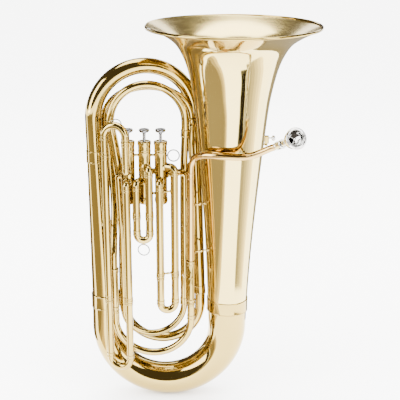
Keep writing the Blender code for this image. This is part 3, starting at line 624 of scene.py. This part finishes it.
def crook(name, legs, body, nodes, r_leg=6.95, r_out=8.1, n=40, extra=None):
    """legs: (xy, leg tip z, sleeve end z) twice, then bend z, depth and sign."""
    (l, ltip, lend), (r, rtip, rend), zb, depth, s = legs
    c = Vector(((l[0] + r[0]) / 2, (l[1] + r[1]) / 2, zb))
    u = Vector(((l[0] - r[0]) / 2, (l[1] - r[1]) / 2, 0))
    bm = bmesh.new()
    path = [Vector((*l, lend + s * 0.5))] + arc(c, u, (0, 0, s * depth), 0, 180, n) + [Vector((*r, rend + s * 0.5))]
    add_tube(bm, path, r_out, 24 * Q, 0.8)
    for xy, tip, end in ((l, ltip, lend), (r, rtip, rend)):
        add_tube(bm, [Vector((*xy, tip)), Vector((*xy, end)), Vector((*xy, end + s * 3))], r_leg, 24 * Q, 0.8)
        collar(bm, (*xy, end + s * 3.2), (0, 0, 1), r_out - 0.1, 2.5, 0.5, 24 * Q, 0.35)
        if abs(zb - end) > 24:
            collar(bm, (*xy, zb - s * 4.0), (0, 0, 1), r_out - 0.05, 5.2, 0.55, 24 * Q, 0.4)
    for e in extra or ():
        e(bm)
    return link(name, bm, SHADED_BRASS, body, nodes)


crook("tuning_crook", ((TR, 334.0, 248.0), (TL, 318.0, 228.0), 209.5, 86.0, -1), "tuning_slide", ("tuning_slide",),
      7.45, 8.2, 60)
T1 = smooth([(-192.6, -38.0, 330.35), (-192.4, -36.0, 365.0), (-191.6, -22.0, 415.0), (-191.4, -2.0, 480.0),
             (-199.0, 13.5, 570.0), (-209.5, 18.5, 650.0)], 8)
mid = arc((-114.25, 23.5, 662.0), (-95.25, -5.0, 0), (0, -2.0, 70.0), 0, 180, 44)
tube("entry_branch_tube", relax(T1[:-1] + mid, 3), 7.7, SHADED_BRASS, ("entry_branch",), 22 * Q)
v1x, v1y = -84.5, -45.0
d1 = Vector((0.895, 0.445, 0)).normalized()
e0 = Vector((v1x, v1y, 552.0)) + d1 * 15.4
v0, back = Vector((-34.2, -20.4, 0)), Vector((-15.5, -1.0, 0))
ret = smooth([(-19.0, 28.4, 658.6), (-19.0, 22.0, 600.0), (-14.5, 10.0, 470.0), (-15.5, 0.0, 360.0)], 8)
ret += arc((v0 + back) / 2 + Vector((0, 0, 316.0)), (back - v0) / 2, (0, 0, -13.6), 0, 180, 24)
ret += fillet([Vector((v0.x, v0.y, 320.0)), Vector((v0.x, v0.y, 552.0)), e0], 12.0, 12)
tube("entry_return_tube", ret, 7.5, SHADED_BRASS, ("entry_return",), 22 * Q,
     extra=[lambda b: collar(b, (-19.0, 27.6, 650.0), (0, 0.11, 1), 7.7, 8.0, 0.8),
            lambda b: collar(b, (v0.x, v0.y, 420.0), (0, 0, 1), 7.6, 8.0, 0.8)])

# ---------------------------------------------------------------- valves
VXY = ((-84.5, -45.0), (-119.4, -45.0), (-154.2, -45.0))
V1L, V1R = (-87.4, -70.0), (-55.2, -61.0)
V2LL, V2RR = (-137.2, -70.0), (-109.4, -70.0)
V3L, V3R = (-203.8, -56.0), (-158.4, -70.0)
PORTS = {0: (((0.895, 0.445), 552.0), ((V1R[0] - v1x, V1R[1] - v1y), 572.0), ((V1L[0] - v1x, V1L[1] - v1y), 541.0),
             ((-1, 0), 560.0)),
         1: (((1, 0), 560.0), ((V2RR[0] + 119.4, V2RR[1] + 45.0), 571.0), ((V2LL[0] + 119.4, V2LL[1] + 45.0), 541.0),
             ((-1, 0), 530.0)),
         2: (((1, 0), 530.0), ((V3R[0] - v3x, V3R[1] - v3y), 563.0), ((V3R[0] - v3x, V3R[1] - v3y), 538.0),
             ((-0.86, 0.51), 548.0))}
for i, (vx, vy) in enumerate(VXY):
    k = str(i + 1)
    at = (vx, vy, 0)

    def ports(b, i=i, vx=vx, vy=vy):
        for dxy, h in PORTS[i]:
            dd = Vector((*dxy, 0)).normalized()
            beside = abs(dd.x) > 0.99
            r, reach = (6.6, 17.3) if beside else (8.4, 15.0)
            c = Vector((vx, vy, h))
            add_tube(b, [c + dd * t for t in (10.6, 11.6, 12.4, 13.4, reach)],
                     [r + 2.6, r + 2.0, r + 1.1, r + 0.3, r], 20 * Q, 1.2)
            if not beside:
                collar(b, c + dd * 14.2, dd, r - 0.1, 0.9, 0.6, 20 * Q, 0.3)

    casing = round2d([(12.4, 611.0), (12.4, 603.6), (13.3, 602.6), (13.3, 503.6), (12.2, 502.2), (12.2, 494.0), (11.3, 494.0),
                      (11.3, 611.0)], 0.35, 2, True)
    lathe("casing_" + k, casing, at, (0, 0, 1), SHADED_BRASS, ("valve_casing_" + k,), 32 * Q, True, extra=[ports])
    topcap = round2d([(3.9, 624.9), (8.6, 625.2), (12.2, 626.7), (13.7, 627.0), (14.6, 625.7), (14.6, 619.8), (13.8, 618.6),
                      (13.5, 616.0), (13.5, 607.0), (14.1, 606.3), (14.1, 604.0), (13.6, 603.4), (12.7, 603.4), (12.7, 611.3),
                      (12.4, 620.0), (3.9, 622.0)], 0.4, 2, True)
    lathe("cap_upper_" + k, topcap, at, (0, 0, 1), SHADED_BRASS, ("top_cap_" + k,), 48 * Q, True,
          knurl=(620.2, 625.4, 0.25, 48, 14.4))
    botcap = round2d([(0.01, 490.2), (12.8, 490.2), (12.8, 501.0), (13.7, 501.0), (13.7, 498.6), (14.3, 498.0),
                      (14.3, 492.2), (13.6, 491.4), (13.3, 489.4), (11.6, 487.0), (6.0, 486.0), (3.4, 485.6), (3.0, 484.6),
                      (0.01, 484.6)], 0.45, 2)
    lathe("cap_lower_" + k, botcap, at, (0, 0, 1), SHADED_BRASS, ("bottom_cap_" + k,), 48 * Q,
          knurl=(492.4, 497.8, 0.3, 48, 14.0))
    body = "valve_" + k
    piston = round2d([(0.01, 642.0), (3.4, 642.0), (3.4, 609.5), (5.6, 608.0), (6.0, 606.0), (10.5, 605.2), (10.6, 531.0),
                      (9.4, 531.0), (9.2, 534.0), (0.01, 534.0)], 0.3, 2)
    lathe("piston_core_" + k, piston, at, (0, 0, 1), NICKEL, ("piston_" + k,), 24 * Q, body=body)
    button = round2d([(0.01, 652.0), (5.0, 652.25), (8.4, 653.0), (9.3, 653.6), (10.6, 653.2), (11.2, 652.0), (11.2, 649.6),
                      (10.4, 647.9), (8.4, 646.6), (5.2, 645.6), (3.9, 644.6), (3.6, 642.4), (0.01, 642.4)], 0.5, 3)
    lathe("button_" + k, button, at, (0, 0, 1), PEARL, ("finger_button_" + k,), 36 * Q, body=body)
    turns, per = 7, 20 * Q
    coil = [(vx + 7.6 * math.cos(2 * math.pi * j / per), vy + 7.6 * math.sin(2 * math.pi * j / per),
             491.8 + 37.8 * j / (turns * per)) for j in range(turns * per + 1)]
    coil_ob = tube("spring_" + k, coil, 0.75, STEEL, ("piston_spring_" + k,), 8, body=BODY["piston_spring_" + k],
                   solid=True)
    if BODY["piston_spring_" + k] == ROOT:
        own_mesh(coil_ob)


def leg_sleeve(name, case, leg, zp, ze, nodes):
    c, g = Vector((*case, zp)), Vector((*leg, zp))
    dd = (g - c).normalized()
    s = 1 if ze > zp else -1
    pts = fillet([c + dd * 15.3, g, Vector((*leg, ze))], 9.8, 12)
    tube(name, pts, 8.4, SHADED_BRASS, nodes, 24 * Q, 0.8,
         extra=[lambda b: collar(b, (*leg, ze - s * 2.6), (0, 0, 1), 8.35, 2.6, 0.7, 24 * Q, 0.35),
                lambda b: collar(b, (*leg, ze - s * 9.4), (0, 0, 1), 8.35, 1.6, 0.5, 24 * Q, 0.3),
                lambda b: collar(b, (*leg, zp + s * 14.5), (0, 0, 1), 8.35, 3.4, 0.6, 24 * Q, 0.3)])


leg_sleeve("first_valve_outer_left", VXY[0], V1L, 541.0, 322.0, ("valve1_sleeve_left",))
leg_sleeve("first_valve_outer_right", VXY[0], V1R, 572.0, 322.0, ("valve1_sleeve_right",))
leg_sleeve("second_valve_outer_left", VXY[1], V2LL, 541.0, 462.0, ("valve2_sleeve_left",))
leg_sleeve("second_valve_outer_right", VXY[1], V2RR, 571.0, 462.0, ("valve2_sleeve_right",))
leg_sleeve("third_valve_outer_upper", VXY[2], V3R, 563.0, 632.0, ("valve3_sleeve_upper",))
leg_sleeve("third_valve_outer_lower", VXY[2], V3R, 538.0, 262.0, ("valve3_sleeve_lower",))
tube("third_valve_long_leg", [(*V3L, h) for h in (262, 340, 430, 520, 600)], 8.4, SHADED_BRASS, ("valve3_long_leg",), 24 * Q, 0.8,
     extra=[lambda b: collar(b, (*V3L, 264.8), (0, 0, 1), 8.35, 2.6, 0.7, 24 * Q, 0.35),
            lambda b: collar(b, (*V3L, 272.0), (0, 0, 1), 8.35, 1.6, 0.5, 24 * Q, 0.3),
            lambda b: collar(b, (*V3L, 597.2), (0, 0, 1), 8.35, 2.6, 0.7, 24 * Q, 0.35),
            lambda b: collar(b, (*V3L, 590.0), (0, 0, 1), 8.35, 1.6, 0.5, 24 * Q, 0.3)])
hyp = math.hypot


def half(a, b):
    return hyp(a[0] - b[0], a[1] - b[1]) / 2


def lug(c, up):
    """Small soldered eye that carries a pull ring."""
    return lambda b: add_lathe(b, round2d([(0.01, 3.2), (1.9, 3.0), (2.4, 1.6), (2.0, 0.4), (3.0, 0.0), (0.01, 0.0)], 0.4, 2),
                               c, (0, 0, up), 20)


crook("first_valve_crook", ((V1L, 400.0, 322.0), (V1R, 400.0, 322.0), 258.3, half(V1L, V1R), -1), "valve1_slide",
      ("valve1_slide",))
crook("second_valve_crook", ((V2LL, 526.0, 462.0), (V2RR, 526.0, 462.0), 423.7, half(V2LL, V2RR), -1), "valve2_slide",
      ("valve2_slide",), extra=[lug((-123.3, -70.0, 402.2), -1)])
crook("third_valve_crook", ((V3L, 340.0, 262.0), (V3R, 340.0, 262.0), 123.0, half(V3L, V3R), -1), "valve3_slide",
      ("valve3_slide",))
crook("third_valve_top_crook", ((V3L, 560.0, 600.0), (V3R, 592.0, 632.0), 641.4, half(V3L, V3R), 1),
      "valve3_top_slide", ("valve3_top_slide",))


def ring(name, c, major, minor, axis, nodes, body=None, extra=None):
    k = 12
    o = [(major + minor * math.cos(2 * math.pi * j / k), minor * math.sin(2 * math.pi * j / k)) for j in range(k)]
    return lathe(name, o, c, axis, PEARL, nodes, 36 * Q, True, body=body, extra=extra)


ring("thumb_hook_ring", (-56.9, -48.0, 595.6), 12.4, 1.45, (0, 1, 0), ("thumb_ring",),
     extra=[lambda b: add_tube(b, [(-69.0, -46.6, 595.6), (-72.2, -45.4, 595.6)], 1.3, 12, solid=True)])
ring("second_slide_ring", (-123.3, -70.0, 387.4), 12.5, 1.25, (0.15, 1, 0), ("valve2_pull_ring",), "valve2_slide")
ring("third_slide_ring", ((V3L[0] + V3R[0]) / 2 + 3.0, -49.5, 664.5), 11.0, 1.25, (0.1, 1, 0), ("valve3_pull_ring",),
     "valve3_top_slide")

# ---------------------------------------------------------------- mouthpiece
mp = smooth([(a, 0, h) for a, h in ((4.0, 58.0), (4.6, 64.0), (6.4, 68.0), (11.0, 73.0), (14.6, 80.5), (15.9, 88.0),
                                    (16.6, 92.6), (17.6, 94.0), (19.4, 94.6), (21.2, 93.8), (22.2, 92.0), (22.3, 90.2),
                                    (21.2, 88.2), (20.4, 86.4), (19.9, 82.0), (18.6, 74.4), (15.2, 66.0), (10.4, 59.6),
                                    (7.8, 54.6), (7.0, 50.0), (7.9, 47.6), (7.9, 46.2), (6.7, 44.8), (6.8, 38.0),
                                    (6.9, 31.0), (6.7, 28.6), (6.5, 20.0), (5.9, 0.0))], 5)
mp = [(v.x, v.z) for v in mp] + [(4.6, 0.0), (4.2, 20.0)]
lathe("mouthpiece_cup", mp, REC - MP * 28.4, MP, SILVER, ("mouthpiece",), 48 * Q, True, body="mouthpiece")


# ---------------------------------------------------------------- braces
def brace(name, a, ra, b, rb, nodes=(), mid=3.4, thin=1.7, foot=4.6, saddle=True):
    a, b = Vector(a), Vector(b)
    dd = (b - a).normalized()
    s, e = a + dd * (ra - 0.2), b - dd * (rb - 0.2)
    h = (e - s).length
    m = h / 2
    o = [(0.01, h + 0.4), (foot, h + 0.2), (foot, h - 1.1), (foot * 0.62, h - 1.9), (thin + 0.5, h - 3.2),
         (thin, h - min(6, m * 0.5)), (thin + 0.1, m + mid * 1.3), (thin + 0.9, m + mid * 0.95), (mid, m + mid * 0.35),
         (mid, m - mid * 0.35), (thin + 0.9, m - mid * 0.95), (thin + 0.1, m - mid * 1.3), (thin, min(6, m * 0.5)),
         (thin + 0.5, 3.2), (foot * 0.62, 1.9), (foot, 1.1), (foot, -0.2), (0.01, -0.4)]
    return lathe(name, round2d(o, 0.8, 3), s, dd, SHADED_BRASS, nodes, 20 * Q)


brace("bell_stay_upper", bell_axis(481.0), bell_r(481.0), (*TR, 481.0), 8.0, ("bell_brace_upper",))
brace("bell_stay_lower", bell_axis(370.0), bell_r(370.0), (*TR, 370.0), 8.0, ("bell_brace_lower",))
brace("leadpipe_stay", bell_axis(608.0), bell_r(608.0), (104.0, -97.5, 608.0), 8.0, ("leadpipe_brace",), foot=3.8)
brace("left_branch_stay", LEFT_LOW.lerp(LEFT_HIGH, 0.56), 23.9, (*V3L, 431.0), 8.5, ("left_branch_brace",))
for k in (0, 1):
    brace("valve_tie_%d" % (k + 1), (*VXY[k], 596.0), 13.2, (*VXY[k + 1], 596.0), 13.2, (), 2.7, 1.7, 3.3)
    brace("valve_tie_low_%d" % (k + 1), (*VXY[k], 510.0), 13.2, (*VXY[k + 1], 510.0), 13.2, (), 2.7, 1.7, 3.3)
brace("first_valve_stay_low", (*V1L, 330.0), 8.5, (*V1R, 330.0), 8.5, ("valve1_brace_lower",), 2.6, 1.6, 3.6)
brace("first_valve_stay_high", (*V1L, 520.0), 8.5, (*V1R, 520.0), 8.5, (), 2.6, 1.6, 3.6)

# ---------------------------------------------------------------- water key, lyre holder
kx, ky = TR[0], TR[1] - 14.6
key_path = smooth([(kx, ky - 0.2, 296.0), (kx, ky + 0.2, 299.0), (kx, ky - 0.9, 306.0), (kx, ky, 314.0), (kx, ky - 0.9, 320.0),
                   (kx, ky - 0.4, 327.0)], 6)
bm = bmesh.new()
add_tube(bm, key_path, ramp(len(key_path), 1.3, 1.5, 1.9, 1.6, 2.1), 16, solid=True)
add_lathe(bm, round2d([(0.01, 3.4), (3.1, 3.0), (3.4, 0.4), (3.2, 0.0), (0.01, 0.0)], 0.5, 3), (kx, ky + 2.0, 299.0),
          (0, -1, 0), 28)
add_lathe(bm, round2d([(0.01, 2.0), (1.6, 2.0), (1.6, -2.0), (0.01, -2.0)], 0.4, 3), (kx, ky, 314.0), (1, 0, 0), 20)
link("water_key_lever", bm, SHADED_BRASS, "water_key", ("water_key",))
lathe("water_key_cork", round2d([(0.01, 1.5), (2.6, 1.5), (2.7, 0.0), (0.01, 0.0)], 0.4, 3), (kx, ky + 3.5, 299.0),
      (0, -1, 0), CORK, (), 20 * Q, body="water_key")

LY = Vector((138.0, -108.0, 646.5))
bm = bmesh.new()
bmesh.ops.create_cube(bm, size=1.0)
bmesh.ops.transform(bm, matrix=Matrix.Translation(P(LY)) @ Matrix.Diagonal((0.009, 0.009, 0.016, 1.0)), verts=bm.verts)
bmesh.ops.bevel(bm, geom=bm.edges[:], offset=0.0012, segments=3, affect="EDGES", profile=0.6)
add_tube(bm, [LY + V(-1.0, 1.0, -7.0), LY + V(-2.0, 1.6, -12.0)], [3.0, 4.4], 24, solid=True)
link("lyre_socket", bm, SHADED_BRASS, ROOT, ("lyre_holder",))
screw = round2d([(0.01, 13.0), (2.6, 13.0), (4.6, 12.0), (5.3, 10.4), (5.3, 7.4), (4.4, 6.2), (2.2, 5.4), (1.6, 4.8),
                 (1.6, 0.0), (0.01, 0.0)], 0.5, 3)
lathe("lyre_screw", screw, LY + V(4.85, 0, 3.0), (1, 0, 0), SILVER, ("lyre_thumbscrew",), 40 * Q,
      body="lyre_thumbscrew", knurl=(7.0, 11.0, 0.35, 16, 4.5))
